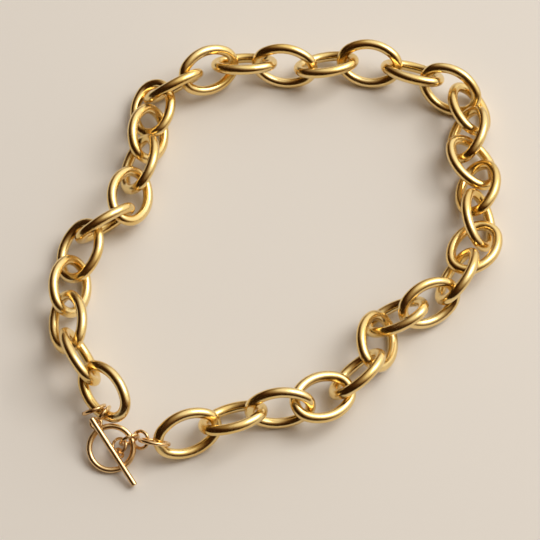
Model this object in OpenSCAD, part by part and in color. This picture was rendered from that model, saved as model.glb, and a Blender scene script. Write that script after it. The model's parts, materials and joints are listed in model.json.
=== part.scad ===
// Closed necklace of chunky oval links with a small toggle clasp, lying on a table.
// Millimetres. Z is up, the table is z = 0, and the clasp lies at the front left.

/* [Chain links] */
// outside length of one oval link
link_length = 18; // [17.8:0.1:18.1]
// outside width of one oval link
link_width = 13.5; // [13.3:0.1:13.6]
// thickness of the round wire of a link
link_wire = 2.7; // [2.4:0.1:2.7]

/* [Toggle ring] */
// outside diameter of the toggle ring
toggle_ring_size = 12.5; // [12.2:0.1:12.6]
// thickness of the wire of the toggle ring
toggle_ring_wire = 1.5; // [1.3:0.1:1.5]

/* [Toggle bar] */
// length of the toggle bar
toggle_bar_length = 20; // [18:0.5:20]
// thickness of the toggle bar
toggle_bar_wire = 1.5; // [1.3:0.1:1.5]

/* [Jump rings] */
// how thick the wire of the jump rings is, where 1 is the full gauge
jump_ring_gauge = 1; // [0.8:0.05:1]
// thickness of the wire of the soldered eyelets
eyelet_wire = 0.8; // [0.7:0.05:0.8]

/* [Finish] */
// colour of the plated metal
metal = "gold"; // [gold, goldenrod, silver]

/* [Hidden] */
$fn = 48;

// ends of the chain's links in order, where one link holds the next: [x, y, z, lean]
// x, y and z place the point; lean is how far the link that starts there is turned about its length
route = [
    [-28, -53.5, 6, 55],
    [-17, -49, 6, -40],
    [-5.5, -45, 6, 70],
    [6.5, -44, 7, 5],
    [16, -38.5, 5, -50],
    [24, -31, 6.5, 40],
    [26.5, -19.5, 4, -35],
    [34, -17.5, 7, 55],
    [43.5, -12.5, 6, -55],
    [49, -1.5, 6, -10],
    [53, 4.5, 5.5, 50],
    [52, 15, 6, -35],
    [53.5, 24, 5, 25],
    [49.5, 31, 5.5, -45],
    [52, 41, 5.5, 35],
    [51, 47.5, 4.5, -50],
    [42, 52.5, 7, 40],
    [31, 57.5, 5.5, -50],
    [19, 59.5, 5.5, 35],
    [7.5, 56.5, 6, -65],
    [-3.5, 58, 6.5, 40],
    [-14.5, 57.5, 6.5, -50],
    [-22.5, 53, 8, 65],
    [-33.5, 48, 5, 25],
    [-33.5, 41, 5, -45],
    [-35.5, 31.5, 6, 45],
    [-37.5, 22, 5.5, -35],
    [-40, 11.5, 7, 75],
    [-50, 5, 6.5, 25],
    [-52.5, -3.5, 4.5, -45],
    [-54.5, -15.5, 6, 45],
    [-52.5, -25.5, 7, -65],
    [-47.5, -36, 8, 50],
    [-39.5, -45.5, 8.5, 0]
];

// half length of a link, measured to the middle of its wire
link_a = (link_length - link_wire) / 2;
// a link's outline is four arcs that run smoothly into each other: two tight ends and two long sides
// they meet where the outline's slope is 3 to 4, so the centres of the arcs are in that ratio too
side_centre = link_length - link_width;
end_centre = 3 / 4 * side_centre;
end_radius = link_a - end_centre;
side_radius = end_radius + 5 / 4 * side_centre;
// the prisms that cut the arcs out reach this many steps along their slopes, well past the wire
sector_reach = 5;

// toggle ring: where its middle is, how it tips up, and where round its rim the eyelet sits
toggle_ring_place = [-41.6, -53.75, 2.65];
toggle_ring_tilt = 19;
ring_eyelet_angle = 122;
toggle_ring_r = (toggle_ring_size - toggle_ring_wire) / 2;
// the ring's eyelet: radius to the middle of its wire, and how far its middle lies from the ring's
eyelet_r = 1.3;
eyelet_offset = 7.3;

// toggle bar: its upper end, the way it points, its slope, and the eyelet under it
toggle_bar_place = [-46.55, -47.5, 6.95];
toggle_bar_heading = -55;
toggle_bar_slope = -16.5;
bar_eyelet_along = 11;
bar_eyelet_roll = 48;
bar_eyelet_r = 1.15;
// how far the eyelet's middle hangs below the middle of the bar
bar_eyelet_drop = 1.85;
// the slight chamfer on each end of the bar
bar_end_chamfer = 0.15;

// jump rings: [middle, turn about the vertical, tip, radius to the middle of the wire, wire]
ring_side_ring = [[-43.75, -45.65, 4.7], 54, 101, 2.55, 0.9];
spare_ring = [[-46.1, -44.1, 4.6], -155, 64, 2.8, 1];
bar_ring_1 = [[-39.6, -53.1, 2.8], 114, -25, 1.8, 0.8];
bar_ring_2 = [[-37.15, -51.55, 2.85], -156, 84, 2.4, 0.9];
bar_ring_3 = [[-34.35, -51.55, 2.8], -49, 39, 2.15, 0.9];
bar_ring_4 = [[-30.75, -53.25, 5.25], 170, 61, 3.65, 1];

// a ring of round wire lying flat, centred on the origin
module wire_ring(radius, wire) {
    rotate_extrude($fn = 96)
    translate([radius, 0])
    circle(d = wire);
}

// the part of a wire ring inside a sector that opens along +Y from the origin, side steps across for every step up
module wire_arc(radius, side, up) {
    intersection() {
        wire_ring(radius, link_wire);
        translate([0, 0, -link_wire])
        linear_extrude(2 * link_wire)
        polygon([[0, 0], [side * sector_reach, up * sector_reach], [-side * sector_reach, up * sector_reach]]);
    }
}

// one oval link lying flat, centred on the origin with its length along X
module flat_link() {
    for (turn = [0, 180])
        rotate([0, 0, turn]) {
            translate([end_centre, 0, 0])
            rotate([0, 0, -90])
            wire_arc(end_radius, 4, 3);
            translate([0, -side_centre, 0])
            wire_arc(side_radius, 3, 4);
        }
}

// link number n in its place on the route, leaning about its own length
module placed_link(n) {
    from = route[n - 1];
    to = route[n];
    run = norm([to.x - from.x, to.y - from.y]);
    heading = atan2(to.y - from.y, to.x - from.x);
    pitch = atan2(to.z - from.z, run);
    lean = from[3];
    translate([(from.x + to.x) / 2, (from.y + to.y) / 2, (from.z + to.z) / 2])
    rotate([0, 0, heading])
    rotate([0, -pitch, 0])
    rotate([lean, 0, 0])
    flat_link();
}

// one jump ring in its place
module placed_jump_ring(ring) {
    translate(ring[0])
    rotate([ring[2], 0, ring[1]])
    wire_ring(ring[3], ring[4] * jump_ring_gauge);
}

// oval link 1 of 33, counted from the bar side of the clasp
module link_01() {
    color(metal)
    placed_link(1);
}

// oval link 2 of 33, counted from the bar side of the clasp
module link_02() {
    color(metal)
    placed_link(2);
}

// oval link 3 of 33, counted from the bar side of the clasp
module link_03() {
    color(metal)
    placed_link(3);
}

// oval link 4 of 33, counted from the bar side of the clasp
module link_04() {
    color(metal)
    placed_link(4);
}

// oval link 5 of 33, counted from the bar side of the clasp
module link_05() {
    color(metal)
    placed_link(5);
}

// oval link 6 of 33, counted from the bar side of the clasp
module link_06() {
    color(metal)
    placed_link(6);
}

// oval link 7 of 33, counted from the bar side of the clasp
module link_07() {
    color(metal)
    placed_link(7);
}

// oval link 8 of 33, counted from the bar side of the clasp
module link_08() {
    color(metal)
    placed_link(8);
}

// oval link 9 of 33, counted from the bar side of the clasp
module link_09() {
    color(metal)
    placed_link(9);
}

// oval link 10 of 33, counted from the bar side of the clasp
module link_10() {
    color(metal)
    placed_link(10);
}

// oval link 11 of 33, counted from the bar side of the clasp
module link_11() {
    color(metal)
    placed_link(11);
}

// oval link 12 of 33, counted from the bar side of the clasp
module link_12() {
    color(metal)
    placed_link(12);
}

// oval link 13 of 33, counted from the bar side of the clasp
module link_13() {
    color(metal)
    placed_link(13);
}

// oval link 14 of 33, counted from the bar side of the clasp
module link_14() {
    color(metal)
    placed_link(14);
}

// oval link 15 of 33, counted from the bar side of the clasp
module link_15() {
    color(metal)
    placed_link(15);
}

// oval link 16 of 33, counted from the bar side of the clasp
module link_16() {
    color(metal)
    placed_link(16);
}

// oval link 17 of 33, counted from the bar side of the clasp
module link_17() {
    color(metal)
    placed_link(17);
}

// oval link 18 of 33, counted from the bar side of the clasp
module link_18() {
    color(metal)
    placed_link(18);
}

// oval link 19 of 33, counted from the bar side of the clasp
module link_19() {
    color(metal)
    placed_link(19);
}

// oval link 20 of 33, counted from the bar side of the clasp
module link_20() {
    color(metal)
    placed_link(20);
}

// oval link 21 of 33, counted from the bar side of the clasp
module link_21() {
    color(metal)
    placed_link(21);
}

// oval link 22 of 33, counted from the bar side of the clasp
module link_22() {
    color(metal)
    placed_link(22);
}

// oval link 23 of 33, counted from the bar side of the clasp
module link_23() {
    color(metal)
    placed_link(23);
}

// oval link 24 of 33, counted from the bar side of the clasp
module link_24() {
    color(metal)
    placed_link(24);
}

// oval link 25 of 33, counted from the bar side of the clasp
module link_25() {
    color(metal)
    placed_link(25);
}

// oval link 26 of 33, counted from the bar side of the clasp
module link_26() {
    color(metal)
    placed_link(26);
}

// oval link 27 of 33, counted from the bar side of the clasp
module link_27() {
    color(metal)
    placed_link(27);
}

// oval link 28 of 33, counted from the bar side of the clasp
module link_28() {
    color(metal)
    placed_link(28);
}

// oval link 29 of 33, counted from the bar side of the clasp
module link_29() {
    color(metal)
    placed_link(29);
}

// oval link 30 of 33, counted from the bar side of the clasp
module link_30() {
    color(metal)
    placed_link(30);
}

// oval link 31 of 33, counted from the bar side of the clasp
module link_31() {
    color(metal)
    placed_link(31);
}

// oval link 32 of 33, counted from the bar side of the clasp
module link_32() {
    color(metal)
    placed_link(32);
}

// oval link 33 of 33, counted from the bar side of the clasp
module link_33() {
    color(metal)
    placed_link(33);
}

// round half of the clasp, with the eyelet soldered to its rim
module toggle_ring() {
    color(metal)
    translate(toggle_ring_place)
    rotate([toggle_ring_tilt, 0, 0]) {
        wire_ring(toggle_ring_r, toggle_ring_wire);
        rotate([0, 0, ring_eyelet_angle])
        translate([eyelet_offset, 0, 0])
        wire_ring(eyelet_r, eyelet_wire);
    }
}

// straight half of the clasp: a plain rod with slightly broken edges and an eyelet under it
module toggle_bar() {
    end_d = toggle_bar_wire - 2 * bar_end_chamfer;
    color(metal)
    translate(toggle_bar_place)
    rotate([0, 0, toggle_bar_heading])
    rotate([0, -toggle_bar_slope, 0])
    rotate([bar_eyelet_roll, 0, 0]) {
        rotate([0, 90, 0]) {
            cylinder(h = bar_end_chamfer, d1 = end_d, d2 = toggle_bar_wire);
            translate([0, 0, bar_end_chamfer])
            cylinder(h = toggle_bar_length - 2 * bar_end_chamfer, d = toggle_bar_wire);
            translate([0, 0, toggle_bar_length - bar_end_chamfer])
            cylinder(h = bar_end_chamfer, d1 = toggle_bar_wire, d2 = end_d);
        }
        translate([bar_eyelet_along, 0, -bar_eyelet_drop])
        rotate([90, 0, 0])
        wire_ring(bar_eyelet_r, eyelet_wire);
    }
}

// joins the eyelet of the toggle ring to link 33
module ring_side_jump_ring() {
    color(metal)
    placed_jump_ring(ring_side_ring);
}

// second jump ring on link 33, over its lower bend
module spare_jump_ring() {
    color(metal)
    placed_jump_ring(spare_ring);
}

// smallest jump ring, in the eyelet of the bar
module bar_jump_ring_1() {
    color(metal)
    placed_jump_ring(bar_ring_1);
}

// second jump ring from the bar, inside the toggle ring
module bar_jump_ring_2() {
    color(metal)
    placed_jump_ring(bar_ring_2);
}

// third jump ring from the bar, passing under the toggle ring
module bar_jump_ring_3() {
    color(metal)
    placed_jump_ring(bar_ring_3);
}

// largest jump ring, in link 1
module bar_jump_ring_4() {
    color(metal)
    placed_jump_ring(bar_ring_4);
}

link_01();
link_02();
link_03();
link_04();
link_05();
link_06();
link_07();
link_08();
link_09();
link_10();
link_11();
link_12();
link_13();
link_14();
link_15();
link_16();
link_17();
link_18();
link_19();
link_20();
link_21();
link_22();
link_23();
link_24();
link_25();
link_26();
link_27();
link_28();
link_29();
link_30();
link_31();
link_32();
link_33();
toggle_ring();
toggle_bar();
ring_side_jump_ring();
spare_jump_ring();
bar_jump_ring_1();
bar_jump_ring_2();
bar_jump_ring_3();
bar_jump_ring_4();
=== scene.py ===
import json
import math

import bpy
import numpy as np
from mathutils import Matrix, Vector


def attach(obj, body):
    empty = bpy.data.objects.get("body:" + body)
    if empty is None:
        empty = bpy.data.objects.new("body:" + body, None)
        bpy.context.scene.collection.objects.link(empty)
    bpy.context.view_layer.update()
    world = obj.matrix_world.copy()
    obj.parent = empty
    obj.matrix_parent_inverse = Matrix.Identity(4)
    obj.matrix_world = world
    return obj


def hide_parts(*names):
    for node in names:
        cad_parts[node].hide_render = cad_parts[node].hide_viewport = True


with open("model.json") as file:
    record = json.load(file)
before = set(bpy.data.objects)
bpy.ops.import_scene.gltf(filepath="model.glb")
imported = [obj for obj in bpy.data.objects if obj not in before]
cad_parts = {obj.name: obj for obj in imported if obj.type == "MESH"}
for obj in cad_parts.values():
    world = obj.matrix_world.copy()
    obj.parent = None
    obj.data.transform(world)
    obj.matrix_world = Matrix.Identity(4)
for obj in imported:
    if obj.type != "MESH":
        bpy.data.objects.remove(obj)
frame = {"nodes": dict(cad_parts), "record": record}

MM = 0.001
FULL_TURN = 2 * math.pi
rng = np.random.default_rng(33)

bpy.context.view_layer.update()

body_of_node = {
    node: body
    for body, members in frame["record"]["behaviour"]["bodies"].items()
    for node in members
}


# ---------- reading the frame ----------

def surface(node):
    """Vertices and triangles of a CAD node, in metres."""
    mesh = frame["nodes"][node].data
    mesh.calc_loop_triangles()
    points = np.empty(len(mesh.vertices) * 3)
    mesh.vertices.foreach_get("co", points)
    faces = np.empty(len(mesh.loop_triangles) * 3, dtype=np.int64)
    mesh.loop_triangles.foreach_get("vertices", faces)
    return points.reshape(-1, 3), faces.reshape(-1, 3)


def principal_axes(points, faces):
    """Area-weighted middle of a surface and its axes, longest first."""
    a, b, c = (points[faces[:, k]] for k in range(3))
    area = np.linalg.norm(np.cross(b - a, c - a), axis=1) / 2
    middle = ((a + b + c) / 3 * area[:, None]).sum(0) / area.sum()
    a, b, c = a - middle, b - middle, c - middle
    spread = np.zeros((3, 3))
    for p in (a, b, c, a + b + c):
        spread += (p * area[:, None]).T @ p
    vectors = np.linalg.eigh(spread)[1]
    return middle, vectors[:, 2], vectors[:, 1], vectors[:, 0]


def extents(points, middle, *axes):
    """How far the surface reaches from end to end along each axis."""
    reach = [(points - middle) @ axis for axis in axes]
    return [r.max() - r.min() for r in reach]


# ---------- meshes ----------

def tube(name, line, normal, radii, closed, start_u):
    """A tube of round wire along a flat line.

    radii holds one row of radii round the wire for each point of the line. The map "wire" runs
    along and round the wire in millimetres, and start_u sets where it begins.
    """
    count, around = radii.shape
    if closed:
        tangent = np.roll(line, -1, 0) - np.roll(line, 1, 0)
    else:
        tangent = np.gradient(line, axis=0)
    tangent /= np.linalg.norm(tangent, axis=1)[:, None]
    outward = np.cross(tangent, normal)
    outward /= np.linalg.norm(outward, axis=1)[:, None]
    turn = np.linspace(0, FULL_TURN, around, endpoint=False)[None, :, None]
    ring = outward[:, None, :] * np.cos(turn) + normal[None, None, :] * np.sin(turn)
    vertices = (line[:, None, :] + ring * radii[:, :, None]).reshape(-1, 3)

    step = np.linalg.norm(np.diff(np.vstack([line, line[:1]]), axis=0), axis=1)
    along = np.concatenate([[0], np.cumsum(step)])
    girth = FULL_TURN * radii.mean()
    faces, corner_uv = [], []
    for i in range(count if closed else count - 1):
        i2 = (i + 1) % count
        for k in range(around):
            k2 = (k + 1) % around
            faces.append((i * around + k, i2 * around + k, i2 * around + k2, i * around + k2))
            u1, u2 = along[i], along[i + 1]
            v1, v2 = girth * k / around, girth * (k + 1) / around
            corner_uv += [u1, v1, u2, v1, u2, v2, u1, v2]
    if not closed:
        faces.append(tuple(range(around)))
        faces.append(tuple(reversed(range((count - 1) * around, count * around))))

    mesh = bpy.data.meshes.new(name)
    mesh.from_pydata(vertices.tolist(), [], faces)
    mesh.update()
    uv = mesh.uv_layers.new(name="wire")
    corner_uv += [0.0] * (2 * len(mesh.loops) - len(corner_uv))
    values = np.array(corner_uv) / MM
    values[0::2] += start_u
    uv.data.foreach_set("uv", values)
    mesh.polygons.foreach_set("use_smooth", [True] * len(mesh.polygons))
    if not closed:
        for cut_end in mesh.polygons[-2:]:
            cut_end.use_smooth = False
    obj = bpy.data.objects.new(name, mesh)
    bpy.context.scene.collection.objects.link(obj)
    return obj


def oval_line(half_length, half_width, spacing):
    """Evenly spaced points round the oval of a link.

    Its four arcs meet smoothly, since the centres of two that meet and the middle of the link are
    the corners of a 3-4-5 triangle.
    """
    side_centre = 2 * (half_length - half_width)
    end_centre = side_centre * 3 / 4
    end_r = half_length - end_centre
    side_r = end_r + side_centre * 5 / 4
    end_half = math.atan2(4, 3)
    arcs = [
        ((end_centre, 0), end_r, -end_half, end_half),
        ((0, -side_centre), side_r, end_half, math.pi - end_half),
        ((-end_centre, 0), end_r, math.pi - end_half, math.pi + end_half),
        ((0, side_centre), side_r, math.pi + end_half, FULL_TURN - end_half),
    ]
    lengths = [r * (t2 - t1) for _, r, t1, t2 in arcs]
    total = sum(lengths)
    count = int(round(total / spacing))
    points = []
    for i in range(count):
        s = total * i / count
        k = 0
        while s > lengths[k]:
            s -= lengths[k]
            k += 1
        (cx, cy), r, t1, _ = arcs[k]
        t = t1 + s / r
        points.append((cx + r * math.cos(t), cy + r * math.sin(t)))
    return np.array(points)


def gentle_noise(count, waves, size, seed):
    """A smooth closed run of small numbers."""
    draw = np.random.default_rng(seed)
    t = np.linspace(0, FULL_TURN, count, endpoint=False)
    out = np.zeros(count)
    for k in range(1, waves + 1):
        out += draw.normal() * np.cos(k * t + draw.uniform(0, 6.28)) / k
    return out * size


# ---------- materials ----------

# each noise's scale and detail: the first three are laid out in metres, the scratches in
# millimetres along and round the wire, which SCRATCH_STRETCH draws out along it
PATCHES, SMUDGES, WAVES, SCRATCHES = (90, 5), (260, 4), (420, 2), (2.4, 6)
SCRATCH_STRETCH = (0.35, 9.0, 1.0)
SCRATCH_HARSHNESS = 0.65
DEEP_UP_TO, TINT_FROM = 0.30, 0.62
SMOOTH_UP_TO, DULL_FROM = 0.12, 0.40
WAVE_DEPTH, SCRATCH_DEPTH = 0.03 * MM, 0.01 * MM
BUMP_STRENGTH = 0.06
COAT, COAT_ROUGHNESS = 0.12, 0.12


def gold(name, tint, deep, rough, scale):
    """Polished plated metal: warm colour, dull patches, fine scratches that run along the wire.

    tint and deep are the two colours that the surface varies between and rough the two
    roughnesses. scale is larger for smaller pieces.
    """
    mat = bpy.data.materials.new(name)
    mat.use_nodes = True
    nodes, links = mat.node_tree.nodes, mat.node_tree.links
    nodes.clear()

    def noise(kind, vector, finer=1.0):
        node = nodes.new("ShaderNodeTexNoise")
        node.inputs["Scale"].default_value = kind[0] * finer
        node.inputs["Detail"].default_value = kind[1]
        links.new(vector, node.inputs["Vector"])
        return node

    def bump(depth, height):
        node = nodes.new("ShaderNodeBump")
        node.inputs["Strength"].default_value = BUMP_STRENGTH
        node.inputs["Distance"].default_value = depth
        links.new(height.outputs["Fac"], node.inputs["Height"])
        return node

    out = nodes.new("ShaderNodeOutputMaterial")
    shader = nodes.new("ShaderNodeBsdfPrincipled")
    shader.inputs["Metallic"].default_value = 1.0
    shader.inputs["Coat Weight"].default_value = COAT
    shader.inputs["Coat Roughness"].default_value = COAT_ROUGHNESS
    links.new(shader.outputs["BSDF"], out.inputs["Surface"])
    place = nodes.new("ShaderNodeTexCoord").outputs["Object"]

    patch = noise(PATCHES, place, scale)
    colour = nodes.new("ShaderNodeValToRGB")
    colour.color_ramp.elements[0].position = DEEP_UP_TO
    colour.color_ramp.elements[0].color = (*deep, 1)
    colour.color_ramp.elements[1].position = TINT_FROM
    colour.color_ramp.elements[1].color = (*tint, 1)
    links.new(patch.outputs["Fac"], colour.inputs["Fac"])
    links.new(colour.outputs["Color"], shader.inputs["Base Color"])

    wire = nodes.new("ShaderNodeUVMap")
    wire.uv_map = "wire"
    stretch = nodes.new("ShaderNodeMapping")
    stretch.inputs["Scale"].default_value = SCRATCH_STRETCH
    links.new(wire.outputs["UV"], stretch.inputs["Vector"])
    scratches = noise(SCRATCHES, stretch.outputs["Vector"])
    scratches.inputs["Roughness"].default_value = SCRATCH_HARSHNESS

    smudge = noise(SMUDGES, place, scale)
    both = nodes.new("ShaderNodeMath")
    both.operation = "MULTIPLY"
    links.new(smudge.outputs["Fac"], both.inputs[0])
    links.new(scratches.outputs["Fac"], both.inputs[1])
    roughness = nodes.new("ShaderNodeMapRange")
    roughness.inputs["From Min"].default_value = SMOOTH_UP_TO
    roughness.inputs["From Max"].default_value = DULL_FROM
    roughness.inputs["To Min"].default_value = rough[0]
    roughness.inputs["To Max"].default_value = rough[1]
    links.new(both.outputs["Value"], roughness.inputs["Value"])
    links.new(roughness.outputs["Result"], shader.inputs["Roughness"])

    soft = bump(WAVE_DEPTH, noise(WAVES, place, scale))
    fine = bump(SCRATCH_DEPTH, scratches)
    links.new(soft.outputs["Normal"], fine.inputs["Normal"])
    links.new(fine.outputs["Normal"], shader.inputs["Normal"])
    return mat


link_gold = gold("link gold", (0.91, 0.70, 0.33), (0.84, 0.58, 0.19), (0.15, 0.28), 1.0)
clasp_gold = gold("clasp gold", (0.88, 0.65, 0.345), (0.77, 0.49, 0.22), (0.15, 0.29), 1.6)


def add_piece(obj, node, material):
    """Gives a piece its metal and lets it ride on the body of the CAD node that it replaces."""
    obj.data.materials.clear()
    obj.data.materials.append(material)
    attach(obj, body_of_node[node])
    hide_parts(node)


# ---------- the oval links ----------

LINK_SPACING = 0.3 * MM
LINK_AROUND = 44
GAUGE_WAVES, GAUGE_SIZE, GAUGE_SEED = 6, 0.0015, 100
SEAM_FROM, SEAM_TO = 0.05, 0.11
RIDGE_WIDTH, RIDGE_HEIGHT = 0.35 * MM, 0.010
GROOVE_WIDTH, GROOVE_DEPTH = 0.22 * RIDGE_WIDTH, 0.022
SEAM_SKEW = 0.10 * MM
LINK_MAP_STEP = 7.3

link_names = sorted(n for n in frame["nodes"] if n.startswith("link_"))
axes_of = {n: principal_axes(*surface(n)) for n in link_names}
for index, name in enumerate(link_names):
    middle, along, across, normal = axes_of[name]
    length, width, wire = extents(surface(name)[0], middle, along, across, normal)
    follower = link_names[min(index + 1, len(link_names) - 1)]
    if (axes_of[follower][0] - middle) @ along < 0:
        along = -along
    normal = np.cross(along, across)
    flat = oval_line((length - wire) / 2, (width - wire) / 2, LINK_SPACING)
    line = middle + flat[:, :1] * along + flat[:, 1:] * across
    count = len(line)
    gauge = wire / 2 * (1 + gentle_noise(count, GAUGE_WAVES, GAUGE_SIZE, GAUGE_SEED + index))
    radii = np.repeat(gauge[:, None], LINK_AROUND, axis=1)
    # the soldered seam: a faint groove between two faint ridges, not quite square to the wire
    step = np.linalg.norm(line[1] - line[0])
    seam_at = rng.uniform(SEAM_FROM, SEAM_TO) * count
    round_trip = count * step
    for k in range(LINK_AROUND):
        skew = SEAM_SKEW * math.sin(FULL_TURN * k / LINK_AROUND + index)
        distance = (np.arange(count) - seam_at) * step + skew
        distance = (distance + round_trip / 2) % round_trip - round_trip / 2
        ridge = RIDGE_HEIGHT * np.exp(-(distance / RIDGE_WIDTH) ** 2)
        groove = GROOVE_DEPTH * np.exp(-(distance / GROOVE_WIDTH) ** 2)
        radii[:, k] += (ridge - groove) * MM
    obj = tube("oval_" + name, line, normal, radii, closed=True, start_u=LINK_MAP_STEP * index)
    add_piece(obj, name, link_gold)


# ---------- jump rings ----------

RING_POINTS, RING_AROUND = 150, 28
CUT_GAP = 0.03 * MM
CUT_ASIDE = 0.03 * MM
CUT_EDGE, CUT_SHORTENS_STEP_TO = 0.05 * MM, 0.25
RING_MAP_STEP = 5.1

ring_names = sorted(n for n in frame["nodes"] if "jump_ring" in n)
for index, name in enumerate(ring_names):
    points, faces = surface(name)
    middle, a1, a2, normal = principal_axes(points, faces)
    size, _, wire = extents(points, middle, a1, a2, normal)
    ring_r = (size - wire) / 2
    start = rng.uniform(0, FULL_TURN)
    gap = CUT_GAP / ring_r
    turn = np.linspace(start + gap, start + FULL_TURN - gap, RING_POINTS)
    # the two cut ends sit a hair apart and a hair out of line
    aside = CUT_ASIDE * np.linspace(-1, 1, RING_POINTS)[:, None] ** 5 * normal
    spoke = np.cos(turn)[:, None] * a1 + np.sin(turn)[:, None] * a2
    line = middle + ring_r * spoke + aside
    # and their edges are broken
    radii = np.full((RING_POINTS, RING_AROUND), wire / 2)
    radii[0] = radii[-1] = wire / 2 - CUT_EDGE
    line[0] += (line[1] - line[0]) * (1 - CUT_SHORTENS_STEP_TO)
    line[-1] += (line[-2] - line[-1]) * (1 - CUT_SHORTENS_STEP_TO)
    obj = tube(name + "_wire", line, normal, radii, closed=False, start_u=RING_MAP_STEP * index)
    add_piece(obj, name, clasp_gold)


# ---------- the toggle ring and bar, with soldered eyelets ----------

SKIN_VOXEL = 0.07 * MM
SOLDER_ROUNDS, SOLDER_FLOW = 14, 0.5
MAP_SLANT = 0.2


def soldered(node, name):
    """A copy of a CAD node whose joints are filled in and rounded, as solder does."""
    obj = bpy.data.objects.new(name, frame["nodes"][node].data.copy())
    bpy.context.scene.collection.objects.link(obj)
    bpy.context.view_layer.objects.active = obj
    remesh = obj.modifiers.new("one skin", "REMESH")
    remesh.mode = "VOXEL"
    remesh.voxel_size = SKIN_VOXEL
    remesh.use_smooth_shade = True
    smooth = obj.modifiers.new("solder", "SMOOTH")
    smooth.factor = SOLDER_FLOW
    smooth.iterations = SOLDER_ROUNDS
    graph = bpy.context.evaluated_depsgraph_get()
    skin = bpy.data.meshes.new_from_object(obj.evaluated_get(graph))
    obj.modifiers.clear()
    obj.data = skin
    skin.polygons.foreach_set("use_smooth", [True] * len(skin.polygons))
    uv = skin.uv_layers.new(name="wire")
    middle, long, short, flat = principal_axes(*surface(node))
    co = np.empty(len(skin.vertices) * 3)
    skin.vertices.foreach_get("co", co)
    co = (co.reshape(-1, 3) - middle) / MM
    index = np.empty(len(skin.loops), dtype=np.int64)
    skin.loops.foreach_get("vertex_index", index)
    corner = co[index]
    corner_uv = np.stack([corner @ long, corner @ flat + corner @ short * MAP_SLANT], 1)
    uv.data.foreach_set("uv", corner_uv.ravel())
    return obj


for node in ("toggle_ring", "toggle_bar"):
    add_piece(soldered(node, node + "_and_eyelet"), node, clasp_gold)


# ---------- floor, light and camera ----------

FLOOR_SIZE, FLOOR_DROP = 6, 0.02 * MM
FLOOR_COLOUR, FLOOR_ROUGHNESS = (0.87, 0.835, 0.79, 1), 0.85
bpy.ops.mesh.primitive_plane_add(size=FLOOR_SIZE, location=(0, 0, -FLOOR_DROP))
floor = bpy.context.object
floor.name = "pale_floor"
paint = bpy.data.materials.new("pale floor")
paint.use_nodes = True
base = paint.node_tree.nodes["Principled BSDF"]
base.inputs["Base Color"].default_value = FLOOR_COLOUR
base.inputs["Roughness"].default_value = FLOOR_ROUGHNESS
floor.data.materials.append(paint)

# the room: pale towards the window, fading to a warm dark on the far side
TOWARDS_WINDOW = (0.62, 0.45, 0.64)
ROOM_STRENGTH = 1.66
ROOM_DARK = (0.0, (0.015, 0.006, 0.0012))
ROOM_PALE = (0.96, (0.70, 0.68, 0.645))
ROOM_BETWEEN = (
    (0.22, (0.036, 0.011, 0.0012)),
    (0.50, (0.205, 0.143, 0.082)),
    (0.76, (0.61, 0.585, 0.54)),
)
world = bpy.context.scene.world or bpy.data.worlds.new("studio")
bpy.context.scene.world = world
world.use_nodes = True
tree = world.node_tree
tree.nodes.clear()
room = tree.nodes.new("ShaderNodeOutputWorld")
glow = tree.nodes.new("ShaderNodeBackground")
glow.inputs["Strength"].default_value = ROOM_STRENGTH
way = tree.nodes.new("ShaderNodeTexCoord")
towards = tree.nodes.new("ShaderNodeVectorMath")
towards.operation = "DOT_PRODUCT"
towards.inputs[1].default_value = TOWARDS_WINDOW
fade = tree.nodes.new("ShaderNodeValToRGB")
fade.color_ramp.interpolation = "EASE"
ends = fade.color_ramp.elements[0], fade.color_ramp.elements[1]
for stop, (place, tone) in zip(ends, (ROOM_DARK, ROOM_PALE)):
    stop.position = place
    stop.color = (*tone, 1)
for place, tone in ROOM_BETWEEN:
    fade.color_ramp.elements.new(place).color = (*tone, 1)
tree.links.new(way.outputs["Generated"], towards.inputs[0])
tree.links.new(towards.outputs["Value"], fade.inputs["Fac"])
tree.links.new(fade.outputs["Color"], glow.inputs["Color"])
tree.links.new(glow.outputs["Background"], room.inputs["Surface"])

# the window: one softbox aimed at the middle of the necklace, azimuth 0 at the back (+Y)
WINDOW_AZIMUTH, WINDOW_ELEVATION = math.radians(66), math.radians(50)
WINDOW_DISTANCE, WINDOW_SIZE, WINDOW_POWER = 1.2, 0.7, 6.6
WINDOW_COLOUR = (1.0, 0.96, 0.90)
window_data = bpy.data.lights.new("window", "AREA")
window_data.shape = "RECTANGLE"
window_data.size = window_data.size_y = WINDOW_SIZE
window_data.energy = WINDOW_POWER
window_data.color = WINDOW_COLOUR
window = bpy.data.objects.new("window", window_data)
window.location = WINDOW_DISTANCE * Vector((
    math.sin(WINDOW_AZIMUTH) * math.cos(WINDOW_ELEVATION),
    math.cos(WINDOW_AZIMUTH) * math.cos(WINDOW_ELEVATION),
    math.sin(WINDOW_ELEVATION),
))
window.rotation_euler = (-window.location).to_track_quat("-Z", "Y").to_euler()
bpy.context.scene.collection.objects.link(window)

CAMERA_ELEVATION, CAMERA_DISTANCE = math.radians(62), 0.600
SENSOR_WIDTH, LENS, NEAREST = 36, 153.2, 0.01
aim = Vector((-0.002, -0.002, 0))
camera_data = bpy.data.cameras.new("camera")
camera_data.sensor_width = SENSOR_WIDTH
camera_data.lens = LENS
camera_data.clip_start = NEAREST
camera = bpy.data.objects.new("camera", camera_data)
from_aim = Vector((0, -math.cos(CAMERA_ELEVATION), math.sin(CAMERA_ELEVATION)))
camera.location = aim + from_aim * CAMERA_DISTANCE
camera.rotation_euler = (aim - camera.location).to_track_quat("-Z", "Y").to_euler()
bpy.context.scene.collection.objects.link(camera)
bpy.context.scene.camera = camera
bpy.context.scene.view_settings.view_transform = "Standard"
